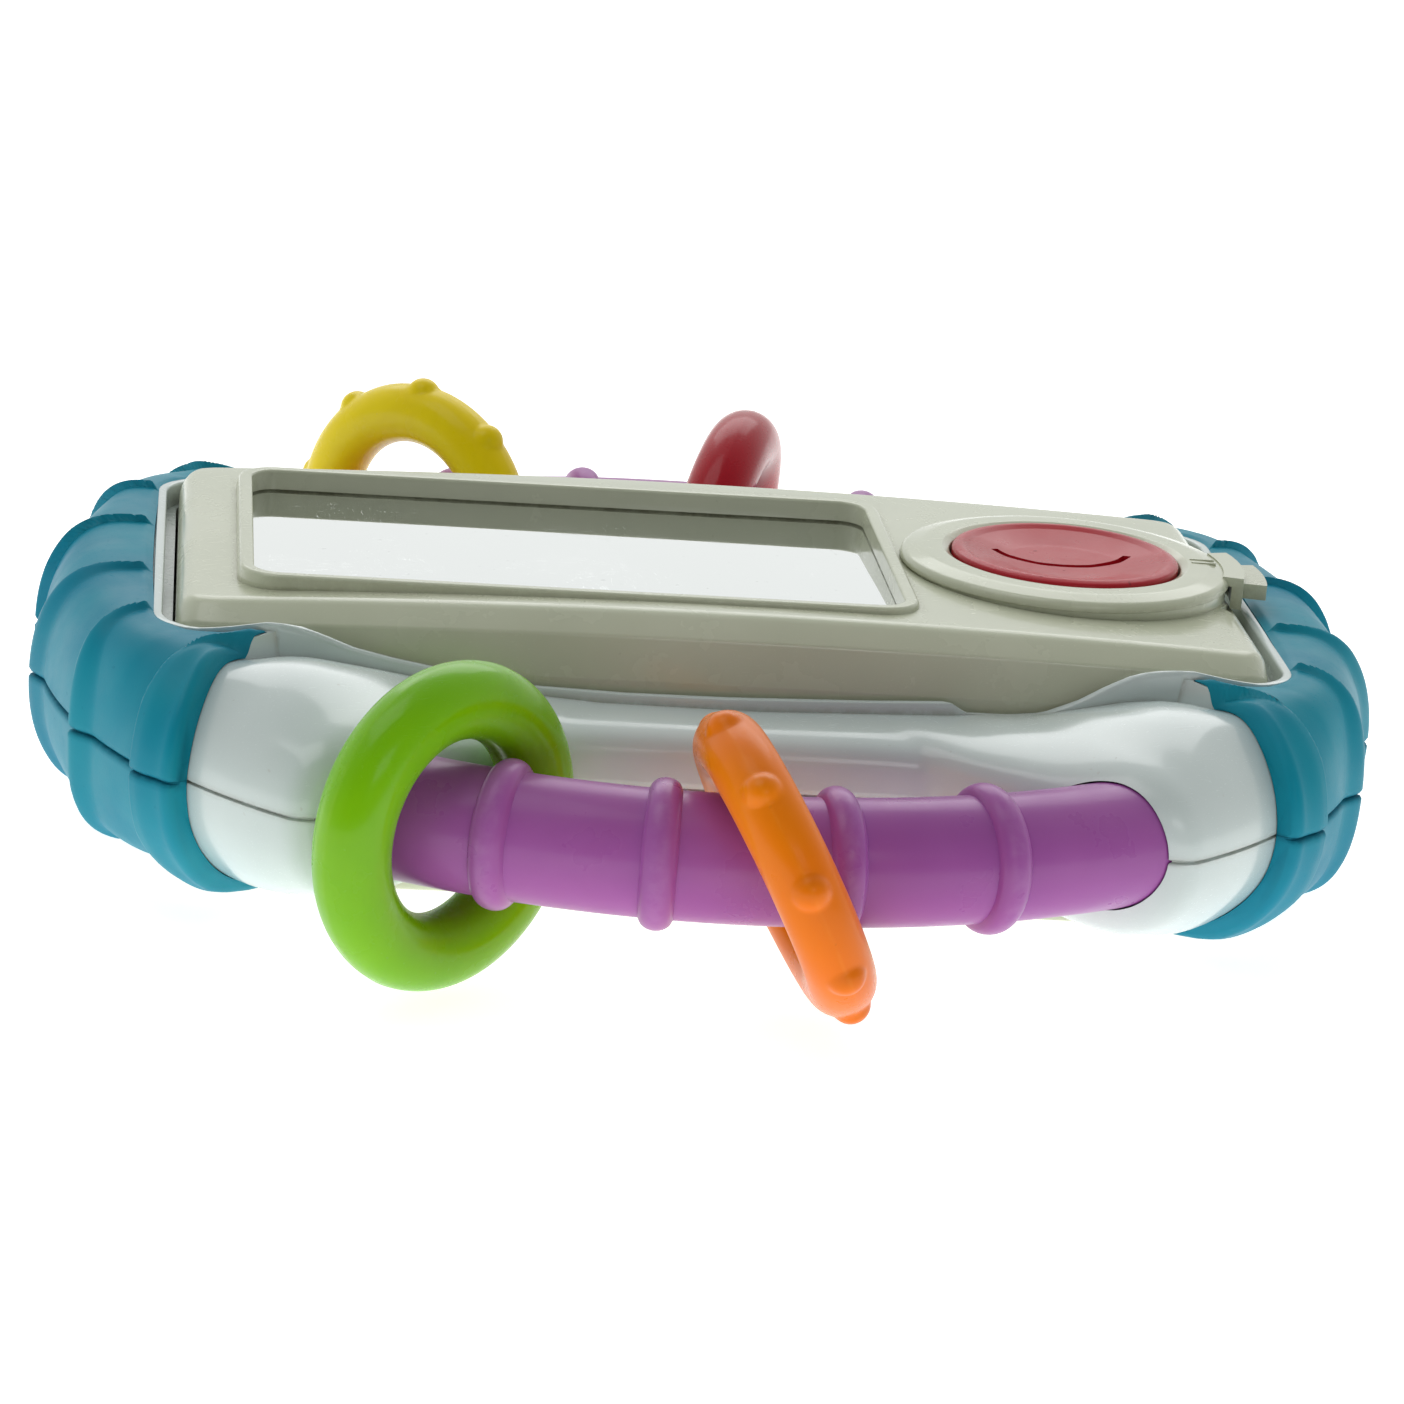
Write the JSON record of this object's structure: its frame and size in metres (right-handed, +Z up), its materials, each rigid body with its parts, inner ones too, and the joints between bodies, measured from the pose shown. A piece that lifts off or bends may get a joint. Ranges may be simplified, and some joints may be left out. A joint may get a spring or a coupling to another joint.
{
  "type": "toy cell phone",
  "caption": "Baby's activity toy phone: a slab phone module with mirror and push button across a round two-handed frame, with rings sliding on a curved bar front and back.",
  "frame": {"origin": "centre of the phone module's flat underside, which the toy rests on", "axes": "+X along the phone from the mirror end to the button end, +Y to the bar with the yellow and red rings, +Z up out of the mirror and button face"},
  "size_m": [0.1994, 0.2143, 0.0512],
  "materials": {
    "white_shell": "glossy moulded plastic",
    "cream_case": "glossy moulded plastic, slightly yellowed",
    "teal_grip": "matt soft-touch rubber",
    "purple_bar": "satin moulded plastic",
    "green_ring": "satin moulded plastic",
    "orange_ring": "satin moulded plastic",
    "yellow_ring": "satin moulded plastic",
    "red_ring": "satin moulded plastic",
    "red_button": "satin moulded plastic",
    "mirror": "mirrored acrylic",
    "steel": "plain steel",
    "spring_steel": "drawn spring wire",
    "board": "fibreglass circuit board",
    "black_resin": "black resin",
    "black_rubber": "conductive rubber",
    "speaker_paper": "treated paper cone and frame",
    "magnet": "plated ferrite magnet",
    "cell": "printed steel can",
    "red_wire": "vinyl insulation",
    "black_wire": "vinyl insulation"
  },
  "bodies": {
    "toy": {"frame_upper": "white_shell", "frame_lower": "white_shell", "grip_right_upper": "teal_grip", "grip_right_lower": "teal_grip", "grip_left_upper": "teal_grip", "grip_left_lower": "teal_grip", "front_bar": "purple_bar", "back_bar": "purple_bar", "phone_front_cover": "cream_case", "phone_rear_cover": "cream_case", "mirror": "mirror", "button_spring": "spring_steel", "circuit_board": "board", "sound_chip": "black_resin", "speaker_cone": "speaker_paper", "speaker_magnet": "magnet", "battery_front": "cell", "battery_back": "cell", "battery_contact_left": "spring_steel", "battery_contact_right": "spring_steel", "battery_door": "cream_case", "battery_door_screw": "steel", "frame_screw_1": "steel", "frame_screw_2": "steel", "frame_screw_3": "steel", "frame_screw_4": "steel", "case_screw_1": "steel", "case_screw_2": "steel", "case_screw_3": "steel", "case_screw_4": "steel", "speaker_lead_red": "red_wire", "speaker_lead_black": "black_wire", "battery_lead_red": "red_wire", "battery_lead_black": "black_wire"},
    "green_ring": {"green_ring": "green_ring"},
    "orange_ring": {"orange_ring": "orange_ring"},
    "yellow_ring": {"yellow_ring": "yellow_ring"},
    "red_ring": {"red_ring": "red_ring"},
    "selector": {"selector_ring": "cream_case"},
    "button": {"call_button": "red_button", "contact_pad": "black_rubber"}
  },
  "joints": [
    {"name": "button_press", "type": "slide", "parent": "toy", "child": "button", "axis": [0, 0, -1], "range_m": [0, 0.002], "stiffness_N_per_m": 400, "springref_m": -0.001, "deforming": ["button_spring"]},
    {"name": "selector_turn", "type": "hinge", "parent": "toy", "child": "selector", "pos_m": [0.0538, 0, 0.047], "axis": [0, 0, 1], "range_deg": [-10, 10]},
    {"name": "green_ring_travel", "type": "hinge", "parent": "toy", "child": "green_ring", "pos_m": [0, 0.0153, 0.025], "axis": [0, 0, 1], "range_deg": [0, 10]},
    {"name": "orange_ring_travel", "type": "hinge", "parent": "toy", "child": "orange_ring", "pos_m": [0, 0.0153, 0.025], "axis": [0, 0, 1], "range_deg": [-1.5, 12]},
    {"name": "yellow_ring_travel", "type": "hinge", "parent": "toy", "child": "yellow_ring", "pos_m": [0, -0.0153, 0.025], "axis": [0, 0, 1], "range_deg": [-9, 0]},
    {"name": "red_ring_travel", "type": "hinge", "parent": "toy", "child": "red_ring", "pos_m": [0, -0.0153, 0.025], "axis": [0, 0, 1], "range_deg": [-5, 12]}
  ]
}
